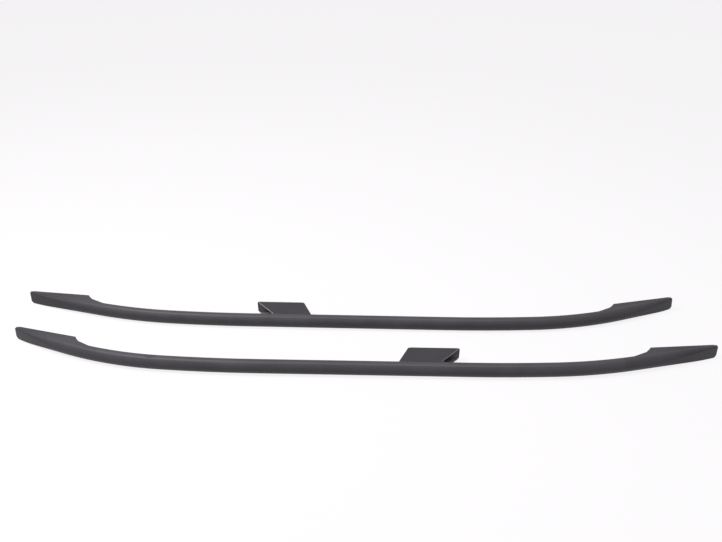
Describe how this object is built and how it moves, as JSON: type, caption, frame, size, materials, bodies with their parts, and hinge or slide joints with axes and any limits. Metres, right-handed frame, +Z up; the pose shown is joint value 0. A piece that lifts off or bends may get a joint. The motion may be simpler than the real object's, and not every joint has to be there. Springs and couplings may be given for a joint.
{
  "type": "roof side rail pair",
  "caption": "Left and right roof side rails: bowed oval bars with wedge feet and a slanted open leg, lying on their sides, to bolt along a car's roof and carry cross bars.",
  "frame": {"origin": "on the floor under the middle of the pair's box", "axes": "+X along the left rail towards its front foot; +Y from the left rail to the right one, which is the roof side of both; +Z up from the floor, across the car when the rails are fitted"},
  "size_m": [1.829, 0.3293, 0.038],
  "materials": {
    "satin_coat": "satin",
    "foot_moulding": "satin",
    "pad_rubber": "matte",
    "sleeve_brass": "plain",
    "fixing_steel": "zinc plated"
  },
  "bodies": {
    "root": {"left_bar": "satin_coat", "left_mid_leg": "satin_coat", "left_front_foot": "foot_moulding", "left_rear_foot": "foot_moulding", "left_front_pad": "pad_rubber", "left_rear_pad": "pad_rubber", "left_mid_pad": "pad_rubber", "left_inserts": "sleeve_brass", "left_leg_nut": "fixing_steel", "left_leg_screw": "fixing_steel", "left_nut_plate": "fixing_steel", "right_bar": "satin_coat", "right_mid_leg": "satin_coat", "right_front_foot": "foot_moulding", "right_rear_foot": "foot_moulding", "right_front_pad": "pad_rubber", "right_rear_pad": "pad_rubber", "right_mid_pad": "pad_rubber", "right_inserts": "sleeve_brass", "right_leg_nut": "fixing_steel", "right_leg_screw": "fixing_steel", "right_nut_plate": "fixing_steel"}
  },
  "joints": []
}
